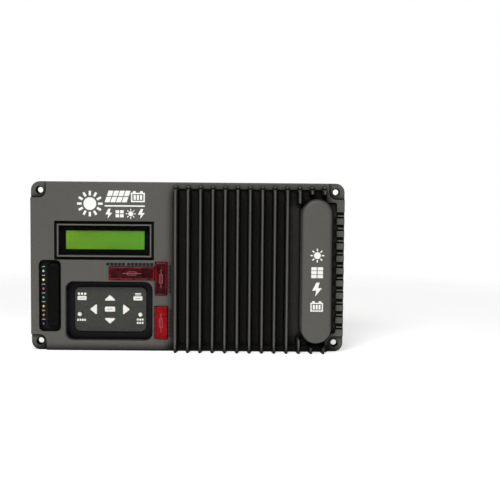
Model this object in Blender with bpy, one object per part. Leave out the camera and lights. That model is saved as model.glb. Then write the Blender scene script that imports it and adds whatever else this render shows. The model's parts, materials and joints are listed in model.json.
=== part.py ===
"""Solar charge controller with a die-cast front, a keypad, a display and pull-off fuse covers.

X runs along the width, +Z is up, and the front faces -Y. The unit stands on its bottom edge, with the
origin under the middle of its box. Every number below is in millimetres, and MM turns it into metres.
"""

import math

import bmesh
import bpy
from mathutils import Vector

MM = 0.001

# Overall size, and the planes from the front to the back
WIDTH, HEIGHT = 317.5, 171.5
POD_FACE_Y = -32.0
FIN_TIP_Y = -31.0
PANEL_Y = -18.0
VALLEY_Y = -15.0
PAD_Y = -13.5
CASTING_BACK_Y = -6.0
BACK_Y = 32.0
GAP = 0.3
BEYOND = 2.0  # how far a cutter runs past the face that it opens
ROOT_DEPTH = 1.5  # how far an added solid reaches into the floor under it

# Casting
OUTLINE_RADIUS = 9.0
REGISTER_DEPTH, REGISTER_MARGIN = 0.8, 0.5
PAD_WIDTH, PAD_HEIGHT, PAD_RADIUS, PAD_LIP = 16.0, 16.3, 7.5, 2.7
HOLE_INSET = 8.75
HOLE_RADIUS, COUNTERBORE_RADIUS, COUNTERBORE_DEPTH = 2.9, 4.1, 4.0
HOLE_X = WIDTH / 2 - HOLE_INSET

# Cooling fins
FIN_COUNT, FIN_PITCH, FIRST_FIN_X = 13, 12.46, -11.6
FIN_BASE_HALF, FIN_TIP_HALF, FIN_TIP_ROUND = 2.9, 1.0, 1.0
FIN_TOP_Z, FIN_END_SLOPE, STUB_END_SLOPE = 165.6, 1.8, 2.0
FIN_NOSE_Z, FIN_NOSE_RADIUS, FIN_NOSE_Y = 166.9, 1.55, -22.0
VALLEY_BOTTOM_Z, VALLEY_TOP_Z = 6.0, 165.0
STUB_GAPS = {10: (14.3, 152.0), 11: (5.9, 160.9), 12: (5.9, 160.9)}

# Pod over the chokes, and the ribbed strip beside it
POD_X, POD_HALF, POD_LOW_Z, POD_HIGH_Z = 130.2, 17.0, 8.5, 157.5
POD_FLANK, POD_EDGE_RADIUS = 2.2, 3.0
POD_CAVITY_HALF, POD_CAVITY_LOW_Z, POD_CAVITY_HIGH_Z = 13.4, 16.0, 150.0
POD_CAVITY_DRAFT, POD_WALL = 1.2, 3.0
STRIP_X = 150.9
RIB_COUNT, RIB_PITCH, FIRST_RIB_Z, RIB_HALF = 10, 12.57, 25.8, 0.75
SLOT_ABOVE_RIB, SLOT_BELOW_RIB = 3.9, 2.6

# Display
LCD_X, LCD_Z = -84.3, 112.15
LCD_WINDOW = (92.2, 30.1)
LCD_BEAD = (95.4, 33.3)
LCD_MOAT, LCD_MOAT_DEPTH = (100.9, 39.4), 3.6
LCD_VIEW = (80.0, 19.0)
LCD_FRAME, LCD_FRAME_WALL = (101.0, 35.0), 2.0
LCD_FRAME_Y, LCD_FRAME_BACK_Y = -9.2, -4.8
LCD_LENS_Y, LCD_LENS = -11.0, 1.4
LCD_GLASS_Y, LCD_BOARD_Y, LCD_BOARD = -7.9, -4.5, (112.0, 36.0)

# Keypad
KEYPAD_X, KEYPAD_Z = -79.05, 40.8
KEYPAD_WINDOW, KEYPAD_WINDOW_RADIUS = (88.3, 60.3), 8.0
KEYPAD_WINDOW_X, KEYPAD_WINDOW_Z = KEYPAD_X - 0.4, KEYPAD_Z - 0.5
KEYPAD_PLATE, KEYPAD_PLATE_RADIUS = (73.4, 46.1), 6.0
KEYPAD_PLATE_Y = -6.5
KEY_CLUSTER_X = KEYPAD_X - 0.7
KEYPAD_WALL, KEYPAD_SKIRT = 1.4, 1.8
SURROUND, SURROUND_RADIUS, SURROUND_Y = (91.5, 63.5), 12.0, -4.0
MEMBRANE, MEMBRANE_RADIUS = (67.0, 40.0), 4.0
KEY_RISE, KEY_TRAVEL, KEY_FLANGE, KEY_FLANGE_DEPTH = 1.2, 0.8, 0.8, 0.6

# Status lights
LED_WINDOW, LED_WINDOW_RADIUS = (-150.4, -128.3, 19.2, 92.0), 5.0
LED_X, FIRST_LED_Z, LED_PITCH, LED_COUNT, LED_RADIUS = -146.8, 26.3, 9.0, 7, 1.9
LED_FLOOR_Y, LED_PROUD, LED_HOLE_RADIUS = -12.0, 1.2, 2.2
INSERT, INSERT_RADIUS, INSERT_Y = (-142.0, -130.2, 24.0, 88.5), 3.5, -15.5

# Fuse covers: low x, high x, low z, high z
FUSE_COVERS = (
    (-79.1, -33.1, 72.6, 85.6),
    (-32.5, -20.7, 57.2, 90.5),
    (-33.0, -20.1, 12.3, 45.6),
)
FUSE_COVER_PROUD, FUSE_COVER_WALL, FUSE_COVER_DEPTH = 1.5, 1.4, 9.0
FUSE_CLEARANCE, FUSE_WINDOW_REACH = 0.4, 2.0
FUSE_BODY, FUSE_BODY_BACK_Y = (19.0, 5.1), -9.0
BLADE, BLADE_OFFSET, BLADE_TIP_Y = (5.2, 0.7), 6.9, -4.5
FUSE_SLOT_WIDTH, FUSE_SLOT_END_Y = 1.6, -4.0

# Boards and rear cover
CONTROL_BOARD_Y, POWER_BOARD_Y, BOARD = -1.6, 3.4, 1.6
REAR_HALF_X, REAR_TOP_Z, REAR_NOTCH = 154.5, 166.0, (23.5, 16.6)
REAR_WALL = 2.5
POST_X, POST_LOW_Z, POST_HIGH_Z, POST_RADIUS = 125.5, 9.0, 157.0, 5.0
COVER_RIM_Y = CASTING_BACK_Y + 0.8
SCREW_RADIUS, SCREW_HEAD_RADIUS, SCREW_TIP_Y = 1.6, 3.2, -10.0
PILOT_RADIUS, PILOT_END_Y, HEAD_WELL_RADIUS, HEAD_WELL_DEPTH = 1.9, -11.0, 3.6, 2.4
NOTCH_HALF_X, NOTCH_TOP_Z, NOTCH_Y, NOTCH_WALL = 45.0, 27.0, 10.0, 2.5
CONTROL_OUTLINE = ((-127, 15), (-18, 15), (-18, 146), (-148.5, 146), (-148.5, 24), (-127, 24))
POWER_OUTLINE = ((-60, 4), (60, 4), (60, 20), (136, 20), (136, 146), (-60, 146))
TRANSISTOR_BAR = (-10, 100, 128, 140)
DISPLAY_RELIEF = (-116, -18, 136, 164)

# Wiring
TERMINAL_COUNT, TERMINAL_PITCH = 6, 12.5
TERMINAL_HALF_X = TERMINAL_COUNT * TERMINAL_PITCH / 2
TERMINAL_LOW_Z, TERMINAL_HIGH_Z, TERMINAL_BACK_Y = 5.0, 23.5, 26.0
TERMINAL_SCREW_Z, TERMINAL_SCREW_RADIUS, TERMINAL_WELL_RADIUS = 13.5, 3.0, 3.4
PORT_Y, PORT_HALF, PORT_TOP_Z = 14.5, 3.75, 20.0
MOUTH_MARGIN, MOUTH_REACH_Y = 1.0, 5.0
COVER_CLEARANCE, COVER_THICKNESS, CHEEK_FRONT_Y, CHEEK_THICKNESS = 0.5, 2.3, 14.0, 2.0

# Chokes and capacitors
CHOKE_Z, CHOKE_RADIUS, CHOKE_BORE = (58.0, 108.0), 11.6, 4.5
CHOKE_FRONT_Y, CHOKE_BACK_Y, CHOKE_FOOT_RADIUS = -27.5, -10.0, 9.0
CAPACITOR_X, CAPACITOR_Z = (10.0, 38.0, 66.0), 62.0
CAPACITOR_RADIUS, CAPACITOR_BACK_Y = 11.0, 28.0


def clear_scene():
    for obj in list(bpy.data.objects):
        bpy.data.objects.remove(obj, do_unlink=True)


def material(name, color, roughness, metallic=0.0):
    made = bpy.data.materials.new(name)
    made.use_nodes = True
    shader = made.node_tree.nodes["Principled BSDF"]
    shader.inputs["Base Color"].default_value = (*color, 1.0)
    shader.inputs["Roughness"].default_value = roughness
    shader.inputs["Metallic"].default_value = metallic
    made.diffuse_color = (*color, 1.0)
    return made


# Outlines are lists of (x, z) points, anticlockwise as seen from the front.


def rounded(corners, radii, steps=4):
    """The polygon with each corner turned into an arc of its own radius."""
    points = []
    count = len(corners)
    for i, corner in enumerate(corners):
        here = Vector(corner)
        radius = radii[i] if isinstance(radii, (list, tuple)) else radii
        if radius <= 0:
            points.append((here.x, here.y))
            continue
        back = (Vector(corners[i - 1]) - here).normalized()
        ahead = (Vector(corners[(i + 1) % count]) - here).normalized()
        half = back.angle(ahead) / 2
        centre = here + (back + ahead).normalized() * radius / math.sin(half)
        start = here + back * radius / math.tan(half) - centre
        end = here + ahead * radius / math.tan(half) - centre
        sweep = start.angle_signed(end)
        turn = math.atan2(start.y, start.x)
        for step in range(steps + 1):
            angle = turn - sweep * step / steps
            points.append((centre.x + radius * math.cos(angle), centre.y + radius * math.sin(angle)))
    return points


def rectangle(x0, x1, z0, z1, radius=0.0, steps=4):
    return rounded([(x0, z0), (x1, z0), (x1, z1), (x0, z1)], radius, steps)


def centred(x, z, size, radius=0.0, steps=4):
    width, height = size
    return rectangle(x - width / 2, x + width / 2, z - height / 2, z + height / 2, radius, steps)


def circle(x, z, radius, sides=32):
    turns = [2 * math.pi * i / sides for i in range(sides)]
    return [(x + radius * math.cos(turn), z + radius * math.sin(turn)) for turn in turns]


def notched(half_x, z0, z1, notch, radius, steps=3):
    """A rectangle with a square notch at each corner."""
    across, up = notch
    inner = half_x - across
    corners = [
        (-inner, z0), (inner, z0), (inner, z0 + up), (half_x, z0 + up),
        (half_x, z1 - up), (inner, z1 - up), (inner, z1), (-inner, z1),
        (-inner, z1 - up), (-half_x, z1 - up), (-half_x, z0 + up), (-inner, z0 + up),
    ]
    return rounded(corners, radius, steps)


def inset(outline, distance):
    """The outline moved inwards by this distance."""
    moved = []
    count = len(outline)
    for i, point in enumerate(outline):
        here = Vector(point)
        before = (here - Vector(outline[i - 1])).normalized()
        after = (Vector(outline[(i + 1) % count]) - here).normalized()
        side_a = Vector((-before.y, before.x))
        side_b = Vector((-after.y, after.x))
        move = (side_a + side_b) * distance / (1 + side_a.dot(side_b))
        moved.append((here.x + move.x, here.y + move.y))
    return moved


# Solids are lists of (points, faces), which make() turns into one object.


def loft(rings):
    """A closed solid through rings of (outline, y), each with the same number of points."""
    count = len(rings[0][0])
    points = [(x, y, z) for outline, y in rings for x, z in outline]
    faces = [list(range(count)), list(range(len(points) - count, len(points)))]
    for ring in range(len(rings) - 1):
        for i in range(count):
            a = ring * count + i
            b = ring * count + (i + 1) % count
            faces.append([a, b, b + count, a + count])
    return points, faces


def slab(outline, front, back, edge=0.0, steps=2):
    """A plate between two Y planes, with its front edge rounded off by this much."""
    rings = [(outline, back)]
    if edge:
        for step in range(steps + 1):
            turn = math.pi / 2 * step / steps
            inward = edge * (1 - math.cos(turn))
            y = front + edge * (1 - math.sin(turn))
            rings.append((inset(outline, inward) if inward else outline, y))
    else:
        rings.append((outline, front))
    return loft(rings)


def turned(x, z, profile, sides=32):
    """A round solid about an axis along Y, through (radius, y) pairs."""
    return loft([(circle(x, z, radius, sides), y) for radius, y in profile])


def tube_ring(outer, inner, front, back):
    """A flat ring between two outlines with the same number of points."""
    count = len(outer)
    points = [(x, y, z) for outline in (outer, inner) for y in (front, back) for x, z in outline]
    faces = []
    for i in range(count):
        j = (i + 1) % count
        for a, b in ((0, 1), (1, 3), (3, 2), (2, 0)):
            faces.append([a * count + i, a * count + j, b * count + j, b * count + i])
    return points, faces


def block(x0, x1, y0, y1, z0, z1):
    return slab(rectangle(x0, x1, z0, z1), y0, y1)


def make(name, solids, look, origin=(0.0, 0.0, 0.0), helper=False):
    """One object from closed solids. Its mesh is placed about the given origin."""
    mesh = bpy.data.meshes.new(name)
    shape = bmesh.new()
    for points, faces in solids:
        corners = [shape.verts.new([(p - o) * MM for p, o in zip(point, origin)]) for point in points]
        for face in faces:
            shape.faces.new([corners[i] for i in face])
    bmesh.ops.recalc_face_normals(shape, faces=shape.faces)
    shape.to_mesh(mesh)
    shape.free()
    obj = bpy.data.objects.new(name, mesh)
    obj.location = [o * MM for o in origin]
    bpy.context.scene.collection.objects.link(obj)
    if look:
        mesh.materials.append(look)
    if helper:
        obj.hide_render = True
        obj.display_type = "WIRE"
    else:
        mesh.shade_smooth()
        mesh.set_sharp_from_angle(angle=math.radians(35))
    return obj


def combine(obj, operation, label, solids):
    """Adds solids to the object, or cuts them from it, with a Boolean modifier."""
    tool = make(f"{obj.name}_{label}", solids, None, helper=True)
    modifier = obj.modifiers.new(label, "BOOLEAN")
    modifier.operation = operation
    modifier.object = tool


def add(obj, label, solids):
    combine(obj, "UNION", label, solids)


def cut(obj, label, solids):
    combine(obj, "DIFFERENCE", label, solids)


# Front casting


def fin_x(index):
    return FIRST_FIN_X + FIN_PITCH * index


def fin(x, low, high, low_slope=0.0):
    """One drafted fin. Its upper end, and its lower end where it has a slope, lean back to its base."""
    profile = [(VALLEY_Y + ROOT_DEPTH, FIN_BASE_HALF), (VALLEY_Y, FIN_BASE_HALF)]
    for degrees in (0, 30, 55, 80):
        turn = math.radians(degrees)
        profile.append((FIN_TIP_Y + FIN_TIP_ROUND * (1 - math.sin(turn)), FIN_TIP_HALF * math.cos(turn)))
    rings = []
    for y, half in profile:
        rise = (PANEL_Y - y) / (PANEL_Y - FIN_TIP_Y)
        top = high - FIN_END_SLOPE * rise
        bottom = low + low_slope * rise
        corners = [(x - half, bottom), (x + half, bottom), (x + half, top), (x - half, top)]
        rings.append((rounded(corners, [0, 0, half * 0.8, half * 0.8], 4), y))
    return loft(rings)


def fin_nose(x):
    """The round boss at a fin's upper end."""
    radius, tip = FIN_NOSE_RADIUS, FIN_NOSE_Y
    profile = ((radius, PANEL_Y + ROOT_DEPTH), (radius, tip + 1.0), (radius * 0.8, tip + 0.3), (0.6, tip))
    return turned(x, FIN_NOSE_Z, profile, 12)


def fins():
    made = []
    for index in range(FIN_COUNT):
        if index not in STUB_GAPS:
            made.append(fin(fin_x(index), 0.0, FIN_TOP_Z))
            continue
        low, high = STUB_GAPS[index]
        made.append(fin(fin_x(index), 0.0, low + FIN_END_SLOPE))
        made.append(fin(fin_x(index), high - STUB_END_SLOPE, FIN_TOP_Z, STUB_END_SLOPE))
    return made


def pod_outline(margin):
    half = POD_HALF - margin
    return rectangle(POD_X - half, POD_X + half, POD_LOW_Z + margin, POD_HIGH_Z - margin, half - 0.01, 12)


def pod():
    rings = [(pod_outline(0.0), VALLEY_Y + ROOT_DEPTH), (pod_outline(0.0), VALLEY_Y)]
    for step in range(6):
        turn = math.pi / 2 * step / 5
        margin = POD_FLANK + POD_EDGE_RADIUS * (1 - math.cos(turn))
        rings.append((pod_outline(margin), POD_FACE_Y + POD_EDGE_RADIUS * (1 - math.sin(turn))))
    return loft(rings)


def pod_cavity():
    x, half = POD_X, POD_CAVITY_HALF
    outline = rectangle(x - half, x + half, POD_CAVITY_LOW_Z, POD_CAVITY_HIGH_Z, half - 0.01, 6)
    front = (inset(outline, POD_CAVITY_DRAFT), POD_FACE_Y + POD_WALL)
    return loft([(outline, CASTING_BACK_Y + BEYOND), (outline, VALLEY_Y), front])


def corner_pads():
    """Cutters that lower the four corners, each with a rounded inner corner."""
    made = []
    for side in (-1, 1):
        outer, inner = side * (WIDTH / 2 + BEYOND), side * (WIDTH / 2 - PAD_WIDTH)
        for edge, inside in ((-BEYOND, PAD_HEIGHT), (HEIGHT + BEYOND, HEIGHT - PAD_HEIGHT)):
            corners = [(outer, edge), (inner, edge), (inner, inside), (outer, inside)]
            if side * (inside - edge) > 0:
                corners.reverse()
            radii = [PAD_RADIUS if corner == (inner, inside) else 0 for corner in corners]
            made.append(slab(rounded(corners, radii, 5), PANEL_Y - BEYOND, PAD_Y))
    return made


def hole_places():
    return [(side * HOLE_X, z) for side in (-1, 1) for z in (HOLE_INSET, HEIGHT - HOLE_INSET)]


def corner_holes():
    ledge = PAD_Y + COUNTERBORE_DEPTH
    profile = (
        (COUNTERBORE_RADIUS, PAD_Y - BEYOND),
        (COUNTERBORE_RADIUS, ledge),
        (HOLE_RADIUS, ledge),
        (HOLE_RADIUS, CASTING_BACK_Y + BEYOND),
    )
    return [turned(x, z, profile) for x, z in hole_places()]


def valley_floor():
    """The lowered floor between the fins, which keeps a rim and stays clear of the corner pads."""
    pad_x = WIDTH / 2 - PAD_WIDTH - PAD_LIP
    pad_low, pad_high = PAD_HEIGHT + PAD_LIP, HEIGHT - PAD_HEIGHT - PAD_LIP
    corners = [
        (FIRST_FIN_X, VALLEY_BOTTOM_Z), (pad_x, VALLEY_BOTTOM_Z), (pad_x, pad_low), (STRIP_X, pad_low),
        (STRIP_X, pad_high), (pad_x, pad_high), (pad_x, VALLEY_TOP_Z), (FIRST_FIN_X, VALLEY_TOP_Z),
    ]
    return [slab(rounded(corners, [0, 2, 3, 2, 2, 3, 2, 0], 3), PANEL_Y - BEYOND, VALLEY_Y)]


def window(outline, edge=0.6):
    """A cutter right through the front, flared a little at the panel's surface."""
    wide = inset(outline, -edge)
    return loft([
        (wide, PANEL_Y - BEYOND), (wide, PANEL_Y), (outline, PANEL_Y + edge), (outline, CASTING_BACK_Y + BEYOND)
    ])


def strip_slots():
    made = []
    for index in range(RIB_COUNT):
        z = FIRST_RIB_Z + RIB_PITCH * index
        low, high = z - SLOT_BELOW_RIB, z + SLOT_ABOVE_RIB
        made.append(block(STRIP_X, WIDTH / 2 + BEYOND, PANEL_Y - BEYOND, VALLEY_Y, low, high))
    return made


def strip_ribs():
    made = []
    for index in range(RIB_COUNT):
        z = FIRST_RIB_Z + RIB_PITCH * index
        outline = rectangle(STRIP_X + 0.8, WIDTH / 2 - 0.4, z - RIB_HALF, z + RIB_HALF)
        made.append(slab(outline, PANEL_Y - 0.6, VALLEY_Y + ROOT_DEPTH))
    return made


def screw_places():
    return [(side * POST_X, z) for z in (POST_LOW_Z, POST_HIGH_Z) for side in (-1, 1)]


def fuse_windows():
    made = []
    for index, (x0, x1, z0, z1) in enumerate(FUSE_COVERS):
        reach = FUSE_WINDOW_REACH if index == 0 else FUSE_CLEARANCE
        outline = rectangle(x0 - FUSE_CLEARANCE, x1 + reach, z0 - FUSE_CLEARANCE, z1 + FUSE_CLEARANCE)
        made.append(slab(outline, PANEL_Y - BEYOND, CASTING_BACK_Y + BEYOND))
    return made


def front_casting(look):
    outline = rectangle(-WIDTH / 2, WIDTH / 2, 0, HEIGHT, OUTLINE_RADIUS, 10)
    body = make("front_casting", [slab(outline, PANEL_Y, CASTING_BACK_Y, 0.8, 3)], look)
    cut(body, "pads_and_floor", corner_pads() + valley_floor())
    cut(body, "strip_slots", strip_slots())
    add(body, "strip_ribs", strip_ribs())
    add(body, "fins", fins())
    add(body, "fin_noses", [fin_nose(fin_x(index)) for index in range(FIN_COUNT)])
    add(body, "pod", [pod()])
    around, bead = centred(LCD_X, LCD_Z, LCD_MOAT), centred(LCD_X, LCD_Z, LCD_BEAD)
    cut(body, "bead_moat", [tube_ring(around, bead, PANEL_Y - BEYOND, PANEL_Y + LCD_MOAT_DEPTH)])
    led_outline = rectangle(*LED_WINDOW, LED_WINDOW_RADIUS, 5)
    keypad_outline = centred(KEYPAD_WINDOW_X, KEYPAD_WINDOW_Z, KEYPAD_WINDOW, KEYPAD_WINDOW_RADIUS, 6)
    lcd_outline = centred(LCD_X, LCD_Z, LCD_WINDOW)
    cut(body, "windows", [window(led_outline), window(keypad_outline), window(lcd_outline, 0.5)])
    for index, cutter in enumerate(fuse_windows()):
        cut(body, f"fuse_window_{index + 1}", [cutter])
    register = slab(rear_outline(-REGISTER_MARGIN), CASTING_BACK_Y - REGISTER_DEPTH, CASTING_BACK_Y + BEYOND)
    cut(body, "cover_register", [register])
    pocket = [side + 2 for side in LCD_FRAME]
    frame_pocket = slab(centred(LCD_X, LCD_Z, pocket), LCD_FRAME_Y - GAP, CASTING_BACK_Y + BEYOND)
    relief = slab(rectangle(*DISPLAY_RELIEF), VALLEY_Y, CASTING_BACK_Y + BEYOND)
    cut(body, "rear_pockets", [frame_pocket, relief, pod_cavity()])
    pilot = ((PILOT_RADIUS, PILOT_END_Y), (PILOT_RADIUS, CASTING_BACK_Y + BEYOND))
    cut(body, "holes", corner_holes() + [turned(x, z, pilot, 16) for x, z in screw_places()])


# Display

def display(clear_look, frame_look, glass_look, board_look):
    lens_size = [side - 0.8 for side in LCD_WINDOW]
    lens = slab(centred(LCD_X, LCD_Z, lens_size), LCD_LENS_Y, LCD_LENS_Y + LCD_LENS)
    make("lcd_lens", [lens], clear_look)
    frame = make(
        "lcd_frame",
        [slab(centred(LCD_X, LCD_Z, LCD_FRAME, 1.0, 2), LCD_FRAME_Y, LCD_FRAME_BACK_Y, 0.5)],
        frame_look,
    )
    inside = [side - 2 * LCD_FRAME_WALL for side in LCD_FRAME]
    view = centred(LCD_X, LCD_Z, LCD_VIEW)
    cut(frame, "view", [slab(view, LCD_FRAME_Y - BEYOND, LCD_FRAME_BACK_Y + BEYOND)])
    hollow = slab(centred(LCD_X, LCD_Z, inside), LCD_FRAME_Y + 1, LCD_FRAME_BACK_Y + BEYOND)
    cut(frame, "inside", [hollow])
    glass = centred(LCD_X, LCD_Z, [side - 1 for side in inside])
    make("lcd_glass", [slab(glass, LCD_GLASS_Y, LCD_FRAME_BACK_Y - 0.1)], glass_look)
    board = slab(centred(LCD_X, LCD_Z, LCD_BOARD), LCD_BOARD_Y, LCD_BOARD_Y + BOARD)
    make("lcd_board", [board], board_look)


# Keypad


def key_outlines():
    """Each key's outline and centre, by name."""
    x, z = KEY_CLUSTER_X, KEYPAD_Z
    near, far, half = 13.3, 20.6, 5.95
    up_base, up_tip, up_half = 9.0, 15.0, 6.5
    keys = {
        "key_up": ([(x - up_half, z + up_base), (x + up_half, z + up_base), (x, z + up_tip)], 0.8),
        "key_down": ([(x + up_half, z - up_base), (x - up_half, z - up_base), (x, z - up_tip)], 0.8),
        "key_left": ([(x - near, z - half), (x - near, z + half), (x - far, z)], 0.8),
        "key_right": ([(x + near, z + half), (x + near, z - half), (x + far, z)], 0.8),
    }
    boxes = {
        "key_enter": (0.0, 0.2, 10.5, 5.3, 0.8),
        "key_upper_left": (-28.7, 11.5, 9.4, 4.4, 0.8),
        "key_upper_right": (28.7, 11.5, 9.4, 4.4, 0.8),
    }
    made = {name: rounded(corners, radius, 2) for name, (corners, radius) in keys.items()}
    for name, (dx, dz, width, height, radius) in boxes.items():
        made[name] = centred(x + dx, z + dz, (width, height), radius, 2)
    for name, side in (("key_lower_left", -1), ("key_lower_right", 1)):
        made[name] = circle(x + side * 31.1, z - 5.3, 2.15, 16)
    return made


def keypad(plate_look, surround_look, rubber_look, key_look):
    wall = KEYPAD_WALL
    front, back = KEYPAD_PLATE_Y, CONTROL_BOARD_Y - GAP
    outline = centred(KEYPAD_X, KEYPAD_Z, KEYPAD_PLATE, KEYPAD_PLATE_RADIUS, 5)
    plate = make("keypad_plate", [slab(outline, front, back, 0.7)], plate_look)
    cut(plate, "inside", [slab(inset(outline, KEYPAD_SKIRT), front + wall, back + BEYOND)])
    keys = key_outlines()
    holes = [slab(inset(shape, -GAP), front - BEYOND, front + wall + 1.0) for shape in keys.values()]
    cut(plate, "key_holes", holes)

    around = centred(KEYPAD_X, KEYPAD_Z, SURROUND, SURROUND_RADIUS, 5)
    opening = centred(KEYPAD_X, KEYPAD_Z, [side + 0.8 for side in KEYPAD_PLATE], KEYPAD_PLATE_RADIUS + 0.4, 5)
    make("keypad_surround", [tube_ring(around, opening, SURROUND_Y, back)], surround_look)

    flange_front = front + wall + GAP
    flange_back = flange_front + KEY_FLANGE_DEPTH
    membrane = centred(KEYPAD_X, KEYPAD_Z, MEMBRANE, MEMBRANE_RADIUS, 3)
    make("keypad_membrane", [slab(membrane, flange_back + KEY_TRAVEL + GAP, back)], rubber_look)
    for name, shape in keys.items():
        xs, zs = zip(*shape)
        origin = ((min(xs) + max(xs)) / 2, flange_back, (min(zs) + max(zs)) / 2)
        flange = inset(shape, -KEY_FLANGE)
        rings = [
            (flange, flange_back),
            (flange, flange_front),
            (shape, flange_front),
            (shape, front - KEY_RISE + 0.4),
            (inset(shape, 0.35), front - KEY_RISE),
        ]
        make(name, [loft(rings)], key_look, origin)


# Status lights


def status_lights(holder_look, insert_look, light_looks):
    outline = inset(rectangle(*LED_WINDOW, LED_WINDOW_RADIUS, 4), 0.4)
    back = CONTROL_BOARD_Y - GAP
    holder = make("led_holder", [slab(outline, LED_FLOOR_Y, back)], holder_look)
    places = [(LED_X, FIRST_LED_Z + LED_PITCH * index) for index in range(LED_COUNT)]
    hole = ((LED_HOLE_RADIUS, LED_FLOOR_Y - BEYOND), (LED_HOLE_RADIUS, back + BEYOND))
    cut(holder, "led_holes", [turned(x, z, hole, 16) for x, z in places])
    insert = rectangle(*INSERT, INSERT_RADIUS, 3)
    make("status_insert", [slab(insert, INSERT_Y, LED_FLOOR_Y - GAP, 1.2)], insert_look)
    tip = LED_FLOOR_Y - LED_PROUD
    dome = ((LED_RADIUS, back), (LED_RADIUS, tip + 1.7), (1.7, tip + 0.9), (1.2, tip + 0.3), (0.5, tip))
    for index, (x, z) in enumerate(places):
        # The record's led_1 is the top one.
        make(f"led_{LED_COUNT - index}", [turned(x, z, dome, 14)], light_looks[LED_COUNT - 1 - index])


# Fuses


def fuses(cover_looks, fuse_looks, holder_look):
    front = PANEL_Y - FUSE_COVER_PROUD
    cover_back = front + FUSE_COVER_DEPTH
    for index, (x0, x1, z0, z1) in enumerate(FUSE_COVERS):
        number = index + 1
        outline = rectangle(x0, x1, z0, z1, 1.6, 3)
        x, z = (x0 + x1) / 2, (z0 + z1) / 2
        origin = (x, cover_back, z)
        shell = slab(outline, front, cover_back, 0.9)
        cover = make(f"fuse_cover_{number}", [shell], cover_looks[index], origin)
        hollow = slab(inset(outline, FUSE_COVER_WALL), front + FUSE_COVER_WALL, cover_back + BEYOND)
        cut(cover, "hollow", [hollow])

        lying = x1 - x0 > z1 - z0
        long_side, short_side = FUSE_BODY

        def flat(length, thickness, offset=0.0):
            if lying:
                return centred(x + offset, z, (length, thickness))
            return centred(x, z + offset, (thickness, length))

        body_front, body_back = front + FUSE_COVER_WALL + 0.7, FUSE_BODY_BACK_Y
        body = slab(flat(long_side, short_side), body_front, body_back, 0.6)
        fuse = make(f"fuse_{number}", [body], fuse_looks[index])
        offsets = (-BLADE_OFFSET, BLADE_OFFSET)
        add(fuse, "blades", [slab(flat(*BLADE, offset), body_back - 1.0, BLADE_TIP_Y) for offset in offsets])
        socket = slab(flat(long_side + 4, short_side + 3), body_back + GAP, CONTROL_BOARD_Y - GAP, 0.5)
        holder = make(f"fuse_holder_{number}", [socket], holder_look)
        slot = slab(flat(long_side + 0.6, FUSE_SLOT_WIDTH), body_back - 1.0, FUSE_SLOT_END_Y)
        cut(holder, "slot", [slot])


# Rear cover, boards and what they carry


def rear_outline(margin):
    """The rear cover's outline, moved inwards by a margin."""
    return inset(notched(REAR_HALF_X, 0.0, REAR_TOP_Z, REAR_NOTCH, 4.0), margin)


def rear_cover(look, gasket_look, screw_look):
    cover = make("rear_cover", [slab(rear_outline(0.0), COVER_RIM_Y, BACK_Y)], look)
    cut(cover, "inside", [slab(rear_outline(REAR_WALL), COVER_RIM_Y - BEYOND, BACK_Y - REAR_WALL)])
    step_x, step_y, step_z = NOTCH_HALF_X + NOTCH_WALL, NOTCH_Y - NOTCH_WALL, NOTCH_TOP_Z + NOTCH_WALL
    add(cover, "wiring_step", [block(-step_x, step_x, step_y, BACK_Y - 1.0, 1.0, step_z)])
    post = ((POST_RADIUS, COVER_RIM_Y), (POST_RADIUS, BACK_Y - 1.0))
    add(cover, "posts", [turned(x, z, post, 20) for x, z in screw_places()])
    head_y = BACK_Y - HEAD_WELL_DEPTH
    bore = (
        (PILOT_RADIUS, COVER_RIM_Y - BEYOND), (PILOT_RADIUS, head_y),
        (HEAD_WELL_RADIUS, head_y), (HEAD_WELL_RADIUS, BACK_Y + BEYOND),
    )
    cut(cover, "screw_holes", [turned(x, z, bore, 20) for x, z in screw_places()])
    space = block(-NOTCH_HALF_X, NOTCH_HALF_X, NOTCH_Y, BACK_Y + BEYOND, -BEYOND, NOTCH_TOP_Z)
    cut(cover, "wiring_space", [space])
    mouth_x = TERMINAL_HALF_X + MOUTH_MARGIN
    mouth_low, mouth_high = TERMINAL_LOW_Z - 0.8, TERMINAL_HIGH_Z + 0.7
    mouth = block(-mouth_x, mouth_x, NOTCH_Y - MOUTH_REACH_Y, NOTCH_Y + BEYOND, mouth_low, mouth_high)
    cut(cover, "terminal_mouth", [mouth])

    gasket_front = CASTING_BACK_Y - REGISTER_DEPTH + GAP
    gasket = tube_ring(rear_outline(GAP), rear_outline(REAR_WALL), gasket_front, COVER_RIM_Y - GAP)
    make("case_gasket", [gasket], gasket_look)
    under_head, top = head_y + 0.2, BACK_Y - 0.3
    screw = (
        (SCREW_RADIUS - 0.6, SCREW_TIP_Y), (SCREW_RADIUS, SCREW_TIP_Y + 0.8), (SCREW_RADIUS, under_head),
        (SCREW_HEAD_RADIUS, under_head), (SCREW_HEAD_RADIUS, top - 0.5), (SCREW_HEAD_RADIUS - 0.6, top),
    )
    slot_long, slot_half, slot_floor = 1.9, 0.4, BACK_Y - 1.3
    for index, (x, z) in enumerate(screw_places()):
        made = make(f"rear_screw_{index + 1}", [turned(x, z, screw, 16)], screw_look)
        for label, a, b in (("slot_across", slot_long, slot_half), ("slot_up", slot_half, slot_long)):
            cut(made, label, [block(x - a, x + a, slot_floor, BACK_Y + BEYOND, z - b, z + b)])


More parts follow.
